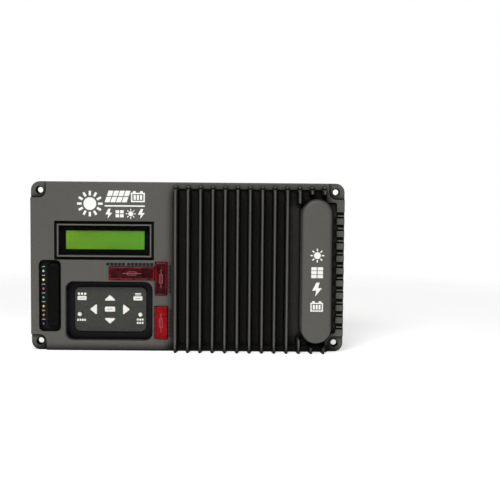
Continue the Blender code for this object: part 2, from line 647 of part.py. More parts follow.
def wiring(block_look, screw_look, cover_look):
    front, back = POWER_BOARD_Y + BOARD + GAP, TERMINAL_BACK_Y
    outline = rectangle(-TERMINAL_HALF_X, TERMINAL_HALF_X, TERMINAL_LOW_Z, TERMINAL_HIGH_Z)
    body = make("terminal_block", [slab(outline, front, back)], block_look)
    places = [(index - (TERMINAL_COUNT - 1) / 2) * TERMINAL_PITCH for index in range(TERMINAL_COUNT)]
    port_front, port_back = PORT_Y - PORT_HALF, PORT_Y + PORT_HALF
    port_low = TERMINAL_LOW_Z - BEYOND
    ports = [block(x - PORT_HALF, x + PORT_HALF, port_front, port_back, port_low, PORT_TOP_Z) for x in places]
    cut(body, "wire_ports", ports)
    well = ((TERMINAL_WELL_RADIUS, PORT_Y), (TERMINAL_WELL_RADIUS, back + BEYOND))
    cut(body, "screw_wells", [turned(x, TERMINAL_SCREW_Z, well, 16) for x in places])
    radius, head_back = TERMINAL_SCREW_RADIUS, back - 2.2
    profile = ((radius, port_back + GAP), (radius, head_back - 0.4), (radius - 0.5, head_back))
    low, high = TERMINAL_SCREW_Z - 0.5, TERMINAL_SCREW_Z + 0.5
    for index, x in enumerate(places):
        screw = make(f"terminal_screw_{index + 1}", [turned(x, TERMINAL_SCREW_Z, profile, 14)], screw_look)
        cut(screw, "slot", [block(x - 4.0, x + 4.0, head_back - 1.1, back, low, high)])

    half, top, bottom = NOTCH_HALF_X - COVER_CLEARANCE, NOTCH_TOP_Z - COVER_CLEARANCE, 0.6
    plate_back = BACK_Y - 0.1
    plate = slab(rectangle(-half, half, bottom, top), plate_back - COVER_THICKNESS, plate_back)
    cover = make("terminal_cover", [plate], cover_look, (0.0, BACK_Y, top / 2))
    for label, x in (("left_cheek", -half), ("right_cheek", half - CHEEK_THICKNESS)):
        add(cover, label, [block(x, x + CHEEK_THICKNESS, CHEEK_FRONT_Y, BACK_Y - 1.5, bottom, top)])


def boards(look, core_look, can_look, bar_look):
    make("control_board", [slab(CONTROL_OUTLINE, CONTROL_BOARD_Y, CONTROL_BOARD_Y + BOARD)], look)
    make("power_board", [slab(POWER_OUTLINE, POWER_BOARD_Y, POWER_BOARD_Y + BOARD)], look)
    bar_front = CASTING_BACK_Y - REGISTER_DEPTH + GAP
    make("transistor_bar", [slab(rectangle(*TRANSISTOR_BAR), bar_front, POWER_BOARD_Y - GAP)], bar_look)
    for index, z in enumerate(CHOKE_Z):
        outer, bore = circle(POD_X, z, CHOKE_RADIUS, 24), circle(POD_X, z, CHOKE_BORE, 24)
        choke = make(f"choke_{index + 1}", [tube_ring(outer, bore, CHOKE_FRONT_Y, CHOKE_BACK_Y)], core_look)
        foot = ((CHOKE_FOOT_RADIUS, CHOKE_BACK_Y - 1.0), (CHOKE_FOOT_RADIUS, POWER_BOARD_Y - GAP))
        add(choke, "foot", [turned(POD_X, z, foot, 20)])
    front, back, radius = POWER_BOARD_Y + BOARD + GAP, CAPACITOR_BACK_Y, CAPACITOR_RADIUS
    can = ((radius - 0.5, front), (radius, front + 0.6), (radius, back - 0.6), (radius - 0.6, back))
    for index, x in enumerate(CAPACITOR_X):
        make(f"capacitor_{index + 1}", [turned(x, CAPACITOR_Z, can, 20)], can_look)


def main():
    clear_scene()
    coat = material("black_powder_coat", (0.055, 0.053, 0.05), 0.55, 0.1)
    black = material("black_plastic", (0.012, 0.012, 0.013), 0.5)
    rubber = material("black_rubber", (0.015, 0.015, 0.015), 0.8)
    grey = material("keypad_grey", (0.05, 0.052, 0.05), 0.45)
    ivory = material("key_ivory", (0.8, 0.79, 0.72), 0.5)
    board_green = material("board_green", (0.02, 0.13, 0.05), 0.5)
    steel = material("zinc_steel", (0.55, 0.55, 0.56), 0.35, 1.0)
    aluminium = material("bare_aluminium", (0.6, 0.6, 0.6), 0.4, 1.0)
    lcd_green = material("lcd_green", (0.22, 0.5, 0.05), 0.3)
    clear = material("clear_window", (0.9, 0.92, 0.92), 0.05)
    ruby = material("ruby_dark", (0.25, 0.005, 0.02), 0.3)
    red = material("ruby_bright", (0.6, 0.01, 0.015), 0.3)
    copper = material("copper_winding", (0.5, 0.2, 0.07), 0.4, 0.8)
    can = material("capacitor_sleeve", (0.03, 0.04, 0.09), 0.4)
    amber = material("fuse_amber", (0.8, 0.35, 0.04), 0.3)
    light_colors = {
        "green": (0.1, 0.6, 0.4), "yellow": (0.8, 0.7, 0.3), "red": (0.6, 0.05, 0.1),
        "teal": (0.05, 0.5, 0.35), "amber": (0.9, 0.6, 0.2), "orange": (0.7, 0.15, 0.05),
        "violet": (0.12, 0.1, 0.35),
    }
    lights = [material(f"light_{name}", color, 0.25) for name, color in light_colors.items()]

    front_casting(coat)
    display(clear, black, lcd_green, board_green)
    keypad(grey, black, rubber, ivory)
    status_lights(black, black, lights)
    fuses((ruby, ruby, red), (amber, amber, amber), black)
    rear_cover(coat, rubber, steel)
    wiring(black, steel, black)
    boards(board_green, copper, can, aluminium)


main()
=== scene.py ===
"""Looks for the solar charge controller: materials, printed marks, fine covers and lights, and the studio.

X runs along the width, +Z is up, and the front faces -Y, as in the frame. Sizes are in millimetres, and MM
turns them into metres. The camera, the lights and the floor are in metres. Most places come from the
frame's own nodes.
"""

import json
import math

import bmesh
import bpy
from mathutils import Matrix, Vector


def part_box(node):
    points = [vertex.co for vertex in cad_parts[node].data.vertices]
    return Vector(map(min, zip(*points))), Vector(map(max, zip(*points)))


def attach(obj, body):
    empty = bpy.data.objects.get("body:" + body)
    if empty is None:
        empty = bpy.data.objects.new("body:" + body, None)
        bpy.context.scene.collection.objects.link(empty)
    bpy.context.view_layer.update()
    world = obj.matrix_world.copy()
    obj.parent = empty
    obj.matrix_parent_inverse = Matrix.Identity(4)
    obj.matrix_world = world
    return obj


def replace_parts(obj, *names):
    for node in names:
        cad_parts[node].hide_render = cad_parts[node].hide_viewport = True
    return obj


MM = 0.001

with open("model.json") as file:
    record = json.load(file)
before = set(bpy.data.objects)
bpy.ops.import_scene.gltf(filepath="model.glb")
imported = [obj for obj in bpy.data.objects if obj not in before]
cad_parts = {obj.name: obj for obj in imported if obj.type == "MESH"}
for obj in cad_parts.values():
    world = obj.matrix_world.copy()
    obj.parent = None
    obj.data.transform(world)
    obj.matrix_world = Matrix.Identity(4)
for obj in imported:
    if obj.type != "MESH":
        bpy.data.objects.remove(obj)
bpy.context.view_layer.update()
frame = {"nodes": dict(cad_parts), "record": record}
nodes = frame["nodes"]


def extent(node):
    """A node's box in millimetres: low x, high x, front y, back y, low z, high z."""
    low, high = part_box(node)
    return low.x / MM, high.x / MM, low.y / MM, high.y / MM, low.z / MM, high.z / MM


def middle_of(node):
    """The middle of a node as seen from the front, in millimetres: x, z."""
    low_x, high_x, _, _, low_z, high_z = extent(node)
    return (low_x + high_x) / 2, (low_z + high_z) / 2


# ---- Camera and light, in metres ----

CAMERA_PLACE = Vector((0.055, -1.068, 0.180))
CAMERA_TARGET = Vector((0.0633, -0.018, 0.1038))
CAMERA_LENS = 74.85
CAMERA_ROLL = math.radians(0.5)
CLIP_START = 0.01

# Each softbox has its place, the point it faces, its two sides, and its power in watts.
SOFTBOXES = {
    "key_light": ((-0.15, -0.8, 0.72), (-0.03, 0, 0.11), (0.4, 0.4), 7.0),
    "fill_light": ((0.35, -1.35, 0.45), (0, 0, 0.08), (0.5, 0.5), 2.2),
    "top_light": ((0.0, -0.1, 1.5), (0, 0, 0.05), (1.6, 1.2), 5.0),
}
BACKDROP_COLOR, BACKDROP_STRENGTH = (1, 1, 1, 1), 1.0
AMBIENT_COLOR, AMBIENT_STRENGTH = (1.0, 0.99, 0.97, 1), 0.1


def aim(obj, target, roll=0.0):
    """Turns an object's -Z towards a target."""
    direction = (target - obj.location).normalized()
    turn = direction.to_track_quat("-Z", "Y").to_matrix().to_4x4()
    obj.rotation_euler = (turn @ Matrix.Rotation(roll, 4, "Z")).to_euler()


def camera():
    made = bpy.data.objects.new("camera", bpy.data.cameras.new("camera"))
    bpy.context.scene.collection.objects.link(made)
    made.location = CAMERA_PLACE
    made.data.lens = CAMERA_LENS
    made.data.clip_start = CLIP_START
    aim(made, CAMERA_TARGET, CAMERA_ROLL)
    bpy.context.scene.camera = made


def softbox(name, place, target, size, power):
    light = bpy.data.lights.new(name, "AREA")
    light.shape = "RECTANGLE"
    light.size, light.size_y = size
    light.energy = power
    made = bpy.data.objects.new(name, light)
    bpy.context.scene.collection.objects.link(made)
    made.location = Vector(place)
    aim(made, Vector(target))


def studio():
    """Three softboxes in a world that is white to the camera and dim to everything else."""
    for name, settings in SOFTBOXES.items():
        softbox(name, *settings)
    world = bpy.data.worlds.new("studio")
    bpy.context.scene.world = world
    world.use_nodes = True
    tree = world.node_tree
    seen, ambient = tree.nodes["Background"], tree.nodes.new("ShaderNodeBackground")
    seen.inputs["Color"].default_value = BACKDROP_COLOR
    seen.inputs["Strength"].default_value = BACKDROP_STRENGTH
    ambient.inputs["Color"].default_value = AMBIENT_COLOR
    ambient.inputs["Strength"].default_value = AMBIENT_STRENGTH
    path, mix = tree.nodes.new("ShaderNodeLightPath"), tree.nodes.new("ShaderNodeMixShader")
    tree.links.new(path.outputs["Is Camera Ray"], mix.inputs["Fac"])
    tree.links.new(ambient.outputs[0], mix.inputs[1])
    tree.links.new(seen.outputs[0], mix.inputs[2])
    tree.links.new(mix.outputs[0], tree.nodes["World Output"].inputs["Surface"])
    bpy.context.scene.view_settings.view_transform = "Standard"


# ---- Materials ----


class Look:
    """A Principled material whose pattern nodes read the object's own coordinates."""

    def __init__(self, name, color, roughness, metallic=0.0, **sockets):
        self.material = bpy.data.materials.new(name)
        self.material.use_nodes = True
        self.tree = self.material.node_tree
        self.shader = self.tree.nodes["Principled BSDF"]
        self.shader.inputs["Base Color"].default_value = (*color, 1)
        self.shader.inputs["Roughness"].default_value = roughness
        self.shader.inputs["Metallic"].default_value = metallic
        for socket, value in sockets.items():
            self.shader.inputs[socket.replace("_", " ")].default_value = value
        self.color = color
        self.place = self.node("ShaderNodeTexCoord").outputs["Object"]

    def node(self, kind, **settings):
        made = self.tree.nodes.new(kind)
        for name, value in settings.items():
            setattr(made, name, value)
        return made

    def feed(self, value, socket):
        """Links a socket's value in, or sets a constant."""
        if isinstance(value, bpy.types.NodeSocket):
            self.tree.links.new(value, socket)
        elif socket.type == "RGBA":
            socket.default_value = (*value, 1)
        else:
            socket.default_value = value

    def calc(self, operation, first, second):
        """Two numbers combined. Each is a socket or a constant."""
        made = self.node("ShaderNodeMath", operation=operation)
        self.feed(first, made.inputs[0])
        self.feed(second, made.inputs[1])
        return made.outputs[0]

    def vector_calc(self, operation, first, second):
        """Two vectors combined to a vector. Each is a socket or a constant."""
        made = self.node("ShaderNodeVectorMath", operation=operation)
        self.feed(first, made.inputs[0])
        self.feed(second, made.inputs[1])
        return made.outputs["Vector"]

    def scaled(self, vector, amount):
        made = self.node("ShaderNodeVectorMath", operation="SCALE")
        self.feed(vector, made.inputs[0])
        self.feed(amount, made.inputs["Scale"])
        return made.outputs["Vector"]

    def length(self, vector):
        made = self.node("ShaderNodeVectorMath", operation="LENGTH")
        self.feed(vector, made.inputs[0])
        return made.outputs["Value"]

    def stretched(self, stretch):
        """The object's coordinates scaled along each axis."""
        if stretch is None:
            return self.place
        mapping = self.node("ShaderNodeMapping")
        self.feed(stretch, mapping.inputs["Scale"])
        self.feed(self.place, mapping.inputs["Vector"])
        return mapping.outputs["Vector"]

    def noise(self, grain, detail=2.0, stretch=None):
        """Noise whose features are about grain millimetres across."""
        made = self.node("ShaderNodeTexNoise")
        self.feed(1 / (grain * MM), made.inputs["Scale"])
        self.feed(detail, made.inputs["Detail"])
        self.feed(self.stretched(stretch), made.inputs["Vector"])
        return made.outputs["Fac"]

    def spread(self, value, low, high, start=0.3, end=0.7):
        """The value mapped from start..end to low..high."""
        made = self.node("ShaderNodeMapRange")
        for socket, number in zip(("From Min", "From Max", "To Min", "To Max"), (start, end, low, high)):
            self.feed(number, made.inputs[socket])
        self.feed(value, made.inputs["Value"])
        return made.outputs["Result"]

    def mixed(self, factor, first, second, blend="MIX"):
        """Two colours mixed by a factor. Each of the three is a socket or a constant."""
        made = self.node("ShaderNodeMix", data_type="RGBA", blend_type=blend)
        self.feed(factor, made.inputs["Factor"])
        inputs = [i for i in made.inputs if i.type == "RGBA"]
        self.feed(first, inputs[0])
        self.feed(second, inputs[1])
        return [o for o in made.outputs if o.type == "RGBA"][0]

    def shade(self, amount):
        """The base colour, made lighter or darker by a share."""
        return tuple(min(1.0, c * (1 + amount)) for c in self.color)

    def mottle(self, grain, amount, detail=2.0, stretch=None):
        """A little lighter and darker than the base colour."""
        factor = self.spread(self.noise(grain, detail, stretch), 0, 1)
        color = self.mixed(factor, self.shade(-amount), self.shade(amount))
        self.feed(color, self.shader.inputs["Base Color"])
        return color

    def rough(self, grain, low, high, stretch=None):
        """Gloss that changes from place to place."""
        uneven = self.spread(self.noise(grain, 3.0, stretch), low, high)
        self.feed(uneven, self.shader.inputs["Roughness"])

    def glowing(self, color, strength):
        """Light given off in the surface's own colour."""
        self.feed(color, self.shader.inputs["Base Color"])
        self.feed(color, self.shader.inputs["Emission Color"])
        self.feed(strength, self.shader.inputs["Emission Strength"])

    def rounded_normal(self, reach):
        """The normal as if edges were rounded to a radius in mm."""
        bevel = self.node("ShaderNodeBevel", samples=4)
        self.feed(reach * MM, bevel.inputs["Radius"])
        return bevel.outputs["Normal"]

    def relief(self, layers, edge=0.0):
        """Bumps from (height socket, depth in mm) layers, over edges rounded to a radius in mm."""
        normal = self.rounded_normal(edge) if edge else None
        for height, depth in layers:
            bump = self.node("ShaderNodeBump")
            self.feed(depth * MM, bump.inputs["Distance"])
            self.feed(height, bump.inputs["Height"])
            if normal:
                self.feed(normal, bump.inputs["Normal"])
            normal = bump.outputs["Normal"]
        self.feed(normal, self.shader.inputs["Normal"])

    def painted_cavity_shade(self, color, reach, darkest, shine, closed=0.3, free=0.85):
        """Painted shade: the colour and the shine, both darkened where the surface is deep between its
        neighbours.
        """
        cavity_ao = self.node("ShaderNodeAmbientOcclusion", samples=8)
        self.feed(reach * MM, cavity_ao.inputs["Distance"])
        # painted shade: darker colour and less shine where ambient occlusion finds the surface closed in
        open_share = self.spread(cavity_ao.outputs["AO"], darkest, 1.0, closed, free)
        self.feed(self.scaled(color, open_share), self.shader.inputs["Base Color"])
        dimmed = self.calc("MULTIPLY", open_share, shine)
        self.feed(dimmed, self.shader.inputs["Specular IOR Level"])

    def edge_highlight_and_wear(self, color, lighter, reach=0.5):
        """Edges made lighter, partly painted highlight and partly rubbed wear: where the rounded normal
        leaves the face's own.
        """
        dot = self.node("ShaderNodeVectorMath", operation="DOT_PRODUCT")
        self.feed(self.rounded_normal(reach), dot.inputs[0])
        self.feed(self.node("ShaderNodeNewGeometry").outputs["Normal"], dot.inputs[1])
        # painted highlight along edges, broken up by noise like rubbed wear
        edge_highlight = self.spread(dot.outputs["Value"], 0.8, 0.0, start=0.75, end=0.99)
        broken = self.spread(self.noise(3.0, detail=4.0), 0.35, 1.0, start=0.35, end=0.6)
        return self.mixed(self.calc("MULTIPLY", edge_highlight, broken), color, self.shade(lighter))


def coat_look():
    """Satin powder coat on a die casting: fine orange peel and grain, with edges lighter by painted highlight
    and wear, and painted shade in its hollows.
    """
    look = Look("powder_coat", (0.082, 0.080, 0.071), 0.5)
    highlighted_and_worn = look.edge_highlight_and_wear(look.mottle(0.7, 0.16, detail=3.0), lighter=0.7)
    # painted shade in the fins' valleys and other hollows
    look.painted_cavity_shade(highlighted_and_worn, reach=12.0, darkest=0.08, shine=0.28, closed=0.56, free=0.9)
    look.rough(1.2, 0.38, 0.5)
    peel, grain = look.noise(1.6, detail=1.0), look.noise(0.45)
    look.relief([(peel, 0.05), (grain, 0.05)], edge=0.7)
    return look.material


def plastic_look(name, color, roughness=0.5, grain=0.35, depth=0.03, mottle=0.12, edge=0.3, shine=0.15):
    """Moulded plastic with a fine spark-eroded texture and slightly uneven gloss, with painted shade where it
    is deep.
    """
    look = Look(name, color, roughness)
    # painted shade where the plastic is deep
    look.painted_cavity_shade(look.mottle(grain * 4, mottle), reach=10.0, darkest=0.3, shine=shine)
    look.rough(grain * 12, roughness - 0.07, roughness + 0.07)
    look.relief([(look.noise(grain), depth)], edge)
    return look.material


def key_look():
    """Ivory silicone: matt, faintly soft, with dust in the grain."""
    look = Look("key_ivory", (0.8, 0.79, 0.72), 0.55, Subsurface_Weight=0.15, Subsurface_Scale=0.001)
    look.mottle(1.5, 0.04, detail=4.0)
    look.rough(2.0, 0.48, 0.62)
    look.relief([(look.noise(0.25), 0.015)], edge=0.3)
    return look.material


CELL_COLUMNS, CELL_ROWS = 20, 2
CELL_PITCH_X, CELL_PITCH_Z = 3.7, 5.95
CELL_WIDTH, CELL_HEIGHT = 3.15, 5.4
CELL_STRENGTH = 0.45  # how far a cell goes towards its own colour


def cells_along(look, place, middle, pitch, cell, count):
    """1 inside a cell along one axis, and 0 between the cells and past the outer ones."""
    shifted = look.calc("SUBTRACT", place, (middle - pitch * count / 2) * MM)
    inside = look.calc("LESS_THAN", look.calc("MODULO", shifted, pitch * MM), cell * MM)
    above = look.calc("GREATER_THAN", shifted, 0.0)
    below = look.calc("LESS_THAN", shifted, pitch * count * MM)
    return look.calc("MULTIPLY", inside, look.calc("MULTIPLY", above, below))


def display_look():
    """A lit character display: two rows of faint cells, greener and darker towards the right."""
    look = Look("lcd_green", (0.12, 0.33, 0.025), 0.35, Specular_IOR_Level=0.05)
    low_x, high_x = extent("lcd_glass")[:2]
    middle_x, middle_z = middle_of("lcd_glass")
    split = look.node("ShaderNodeSeparateXYZ")
    look.feed(look.place, split.inputs[0])
    across = look.spread(split.outputs["X"], 0.0, 1.0, low_x * MM, high_x * MM)
    hue = look.mixed(across, (0.16, 0.34, 0.02), (0.095, 0.31, 0.03))
    cloud = look.spread(look.noise(30, detail=1.0), 0.0, 1.0)
    uneven = look.mixed(cloud, (0.88, 0.88, 0.88), (1.1, 1.1, 1.1))
    lit = look.mixed(1.0, hue, uneven, "MULTIPLY")
    columns = cells_along(look, split.outputs["X"], middle_x, CELL_PITCH_X, CELL_WIDTH, CELL_COLUMNS)
    rows = cells_along(look, split.outputs["Z"], middle_z, CELL_PITCH_Z, CELL_HEIGHT, CELL_ROWS)
    cells = look.calc("MULTIPLY", look.calc("MULTIPLY", columns, rows), CELL_STRENGTH)
    look.glowing(look.mixed(cells, lit, (0.105, 0.27, 0.022)), 0.24)
    return look.material


def window_look():
    """Clear acrylic with faint wipe marks, seen mostly by its gloss."""
    look = Look("clear_window", (0.01, 0.01, 0.01), 0.06, Alpha=0.08)
    look.rough(8.0, 0.03, 0.12, stretch=(1, 1, 0.2))
    return look.material


def tinted_look(name, color, roughness, transmission, shine=0.2, cloud=2.5, uneven=0.18):
    """Translucent moulded plastic with faint flow marks."""
    look = Look(name, color, roughness, Transmission_Weight=transmission, IOR=1.5, Specular_IOR_Level=shine)
    look.mottle(cloud, uneven, detail=3.0)
    look.rough(1.5, roughness - 0.06, roughness + 0.1)
    look.relief([(look.noise(1.2), 0.03)], edge=0.3)
    return look.material


LENS_CORE, LENS_RIM = 0.5, 1.4  # the radii between which a lit lens goes dark


def light_look(name, color, node):
    """A lit lens: brightest over the chip in its middle, and dark towards its rim."""
    look = Look(name, color, 0.2, Transmission_Weight=0.1, IOR=1.5, Specular_IOR_Level=0.1)
    x, z = middle_of(node)
    from_middle = look.vector_calc("SUBTRACT", look.place, (x * MM, 0, z * MM))
    distance = look.length(look.vector_calc("MULTIPLY", from_middle, (1, 0, 1)))
    near = look.spread(distance, 1.0, 0.05, start=LENS_CORE * MM, end=LENS_RIM * MM)
    look.glowing(look.scaled(look.mottle(1.0, 0.15, detail=3.0), near), 0.6)
    look.rough(1.5, 0.14, 0.3)
    return look.material


def metal_look(name, color, roughness, stretch):
    """Bare or plated metal with brushing along one axis."""
    look = Look(name, color, roughness, metallic=1.0)
    look.mottle(0.6, 0.15, detail=4.0, stretch=stretch)
    look.rough(0.8, roughness - 0.1, roughness + 0.12, stretch)
    look.relief([(look.noise(0.3, stretch=stretch), 0.01)], edge=0.2)
    return look.material


def winding_look():
    """Enamelled copper turns, side by side round a core."""
    look = Look("copper_winding", (0.42, 0.15, 0.05), 0.35, metallic=0.7)
    turns = (1, 1, 6)
    look.mottle(0.8, 0.3, stretch=turns)
    look.rough(1.0, 0.25, 0.5)
    look.relief([(look.noise(0.8, detail=0.0, stretch=turns), 0.3)], edge=0.4)
    return look.material


def board_look():
    """Green solder mask over faint tracks."""
    look = Look("board_green", (0.015, 0.11, 0.045), 0.35, Coat_Weight=0.3, Coat_Roughness=0.15)
    tracks = (0.25, 1, 1)
    look.mottle(2.0, 0.35, detail=1.0, stretch=tracks)
    look.rough(4.0, 0.28, 0.45)
    look.relief([(look.noise(1.0, detail=0.0, stretch=tracks), 0.05)], edge=0.2)
    return look.material


def print_look(name, color):
    """Screen-printed ink: opaque, slightly uneven and less glossy than what it is on."""
    look = Look(name, color, 0.6, Specular_IOR_Level=0.15)
    look.mottle(0.5, 0.05, detail=3.0)
    look.rough(1.0, 0.5, 0.7)
    look.relief([(look.noise(0.3), 0.01)])
    return look.material


# The seven status lights from top to bottom, led_1 to led_7.
LIGHTS = {
    "green": (0.36, 0.5, 0.4), "yellow": (0.75, 0.72, 0.5), "red": (0.34, 0.1, 0.11),
    "teal": (0.11, 0.32, 0.22), "amber": (0.6, 0.4, 0.2), "orange": (0.46, 0.22, 0.1),
    "violet": (0.1, 0.09, 0.14),
}

PLASTICS = {
    "rear_plastic": dict(
        color=(0.03, 0.03, 0.031), grain=0.5, depth=0.06, mottle=0.2, edge=0.8, shine=0.3),
    "black_plastic": dict(color=(0.007, 0.007, 0.007), roughness=0.42),
    "black_rubber": dict(color=(0.015, 0.015, 0.015), roughness=0.75, grain=0.3, depth=0.02),
    "insert_black": dict(color=(0.003, 0.003, 0.0028), shine=0.06),
    "keypad_grey": dict(color=(0.045, 0.047, 0.041), grain=0.3, mottle=0.18, edge=0.5),
    "capacitor_sleeve": dict(color=(0.03, 0.04, 0.09), roughness=0.3, grain=0.6, depth=0.02),
}
RUBY = dict(roughness=0.25, transmission=0.1)
TINTED = {
    "ruby_dark": dict(RUBY, color=(0.038, 0.002, 0.004), shine=0.03, cloud=7.0, uneven=0.8),
    "ruby_bright": dict(RUBY, color=(0.25, 0.003, 0.006), shine=0.03, cloud=6.0, uneven=0.35),
    # a brighter red than ruby_dark: painted glow along the covers' rims
    "ruby_rim_painted_glow": dict(RUBY, color=(0.16, 0.003, 0.01), shine=0.08, cloud=9.0, uneven=0.7),
    "ruby_symbol": dict(color=(0.36, 0.09, 0.1), roughness=0.4, transmission=0.0, shine=0.05),
    "fuse_amber": dict(color=(0.8, 0.3, 0.04), roughness=0.2, transmission=0.4),
}
PRINTS = {
    "white_print": (0.82, 0.82, 0.79),
    "dark_print": (0.006, 0.007, 0.007),
    # a painted highlight for the crest of the display bead
    "bead_painted_highlight": (0.125, 0.122, 0.108),
    "grey_print": (0.3, 0.3, 0.28),
}


def all_looks():
    """Every look by name. A look named as a slot of the record goes on that slot's nodes."""
    looks = {
        "powder_coat": coat_look(),
        "key_ivory": key_look(),
        "lcd_green": display_look(),
        "clear_window": window_look(),
        "board_green": board_look(),
        "zinc_steel": metal_look("zinc_steel", (0.55, 0.55, 0.56), 0.35, (1, 1, 5)),
        "bare_aluminium": metal_look("bare_aluminium", (0.62, 0.62, 0.62), 0.4, (0.1, 1, 1)),
        "copper_winding": winding_look(),
    }
    for name, settings in PLASTICS.items():
        looks[name] = plastic_look(name, **settings)
    for name, settings in TINTED.items():
        looks[name] = tinted_look(name, **settings)
    for name, color in PRINTS.items():
        looks[name] = print_look(name, color)
    for number, (name, color) in enumerate(LIGHTS.items(), 1):
        looks[f"light_{name}"] = light_look(f"light_{name}", color, f"led_{number}")
    return looks


CAD_SHARP_ANGLE = math.radians(35)


def dress_nodes(looks):
    """Each CAD node gets the look of its slot in the record, apart from the blacker ribbed insert."""
    for part in frame["record"]["subparts"]:
        node = part["node"]
        mesh = nodes[node].data
        mesh.materials.clear()
        look = "insert_black" if node == "status_insert" else part["material_slot"]
        mesh.materials.append(looks[look])
        mesh.shade_smooth()
        mesh.set_sharp_from_angle(angle=CAD_SHARP_ANGLE)


# ---- Outlines and solids, in millimetres ----

ARC_STEPS = 6
DISC_SIDES = 32
SHARP_ANGLE = math.radians(30)


def rounded(corners, radius):
    """The polygon, anticlockwise as seen from the front, with arcs at its corners."""
    points = []
    for i, corner in enumerate(corners):
        here = Vector(corner)
        back = (Vector(corners[i - 1]) - here).normalized()
        ahead = (Vector(corners[(i + 1) % len(corners)]) - here).normalized()
        half = back.angle(ahead) / 2
        centre = here + (back + ahead).normalized() * radius / math.sin(half)
        start = here + back * radius / math.tan(half) - centre
        end = here + ahead * radius / math.tan(half) - centre
        sweep = start.angle_signed(end)
        turn = math.atan2(start.y, start.x)
        for step in range(ARC_STEPS + 1):
            angle = turn - sweep * step / ARC_STEPS
            points.append((centre.x + radius * math.cos(angle), centre.y + radius * math.sin(angle)))
    return points


def bar(x0, x1, z0, z1, radius=0.0):
    corners = [(x0, z0), (x1, z0), (x1, z1), (x0, z1)]
    return rounded(corners, radius) if radius else corners


def dash(x, z, width, height, radius=0.0):
    """A bar round its middle."""
    return bar(x - width / 2, x + width / 2, z - height / 2, z + height / 2, radius)


def disc(x, z, radius):
    turns = [2 * math.pi * i / DISC_SIDES for i in range(DISC_SIDES)]
    return [(x + radius * math.cos(t), z + radius * math.sin(t)) for t in turns]


def inset(outline, distance):
    """The outline moved inwards, or outwards for a negative distance."""
    moved = []
    for i, point in enumerate(outline):
        here = Vector(point)
        before = (here - Vector(outline[i - 1])).normalized()
        after = (Vector(outline[(i + 1) % len(outline)]) - here).normalized()
        side_a, side_b = Vector((-before.y, before.x)), Vector((-after.y, after.x))
        move = (side_a + side_b) * distance / (1 + side_a.dot(side_b))
        moved.append((here.x + move.x, here.y + move.y))
    return moved


def turned_about(outline, x, z, degrees):
    angle = math.radians(degrees)
    cos, sin = math.cos(angle), math.sin(angle)
    return [(x + (px - x) * cos - (pz - z) * sin, z + (px - x) * sin + (pz - z) * cos) for px, pz in outline]


def loft(rings, closed=False):
    """A solid through rings of (outline, y). Where it is closed, the last ring joins the first."""
    count = len(rings[0][0])
    points = [(x, y, z) for outline, y in rings for x, z in outline]
    total = len(rings)
    faces = [] if closed else [list(range(count)), list(range(len(points) - count, len(points)))]
    for ring in range(total if closed else total - 1):
        after = (ring + 1) % total
        for i in range(count):
            j = (i + 1) % count
            faces.append([ring * count + i, ring * count + j, after * count + j, after * count + i])
    return points, faces


def slab(outline, front, back, edge=0.0, steps=3):
    """A flat solid, its front edge rounded to a radius."""
    rings = [(outline, back)]
    for step in range(steps + 1 if edge else 0):
        turn = math.pi / 2 * step / steps
        inward = edge * (1 - math.cos(turn))
        rings.append((inset(outline, inward) if inward else outline, front + edge * (1 - math.sin(turn))))
    return loft(rings if edge else rings + [(outline, front)])


def ring(outer, inner, front, back):
    """A flat solid with an opening."""
    return loft([(outer, back), (outer, front), (inner, front), (inner, back)], closed=True)


def piece(name, solids, look, body):
    """One object from closed solids, riding on a body."""
    mesh = bpy.data.meshes.new(name)
    shape = bmesh.new()
    for points, faces in solids:
        corners = [shape.verts.new([p * MM for p in point]) for point in points]
        for face in faces:
            shape.faces.new([corners[i] for i in face])
    bmesh.ops.recalc_face_normals(shape, faces=shape.faces)
    shape.to_mesh(mesh)
    shape.free()
    mesh.materials.append(look)
    mesh.shade_smooth()
    mesh.set_sharp_from_angle(angle=SHARP_ANGLE)
    obj = bpy.data.objects.new(name, mesh)
    bpy.context.scene.collection.objects.link(obj)
    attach(obj, body)
    return obj


# ---- Printed marks: plain pictograms, with no lettering ----

PANEL_Y = -18.0  # the front of the casting's flat panel
INK = 0.06  # how proud the print stands
KEY_INK = 0.03  # thinner on the keys


def printed(outline, front):
    return slab(outline, front - INK, front)


def dashes(x, z, front, counts, steps, size, radius=0.0):
    """Rows and columns of equal dashes round a middle."""
    solids = []
    for row in range(counts[1]):
        for column in range(counts[0]):
            at_x = x + (column - (counts[0] - 1) / 2) * steps[0]
            at_z = z + (row - (counts[1] - 1) / 2) * steps[1]
            solids.append(printed(dash(at_x, at_z, *size, radius), front))
    return solids


def sun(x, z, radius, front, rays=8):
    """A disc with a ring of rays."""
    solids = [printed(disc(x, z, radius * 0.5), front)]
    for index in range(rays):
        ray = bar(x - radius * 0.09, x + radius * 0.09, z + radius * 0.64, z + radius)
        solids.append(printed(turned_about(ray, x, z, 360 / rays * index), front))
    return solids


def panel_grid(x, z, width, height, front, columns, rows, gap=0.07, lean=0.0):
    """Solar cells in a grid, which can lean like a panel on a roof."""
    cell_x, cell_z = width / columns, height / rows
    share = 1 - 2 * gap
    solids = []
    for column in range(columns):
        for row in range(rows):
            at_x = x - width / 2 + (column + 0.5) * cell_x
            at_z = z - height / 2 + (row + 0.5) * cell_z
            corners = dash(at_x, at_z, cell_x * share, cell_z * share)
            solids.append(printed([(px + lean * (pz - z), pz) for px, pz in corners], front))
    return solids


BOLT = [(-0.12, -0.5), (0.36, 0.1), (0.08, 0.1), (0.2, 0.5), (-0.04, 0.5), (-0.34, -0.08), (-0.04, -0.08)]


def bolt(x, z, size, front):
    """A lightning bolt."""
    return [printed([(x + px * size, z + pz * size) for px, pz in BOLT], front)]


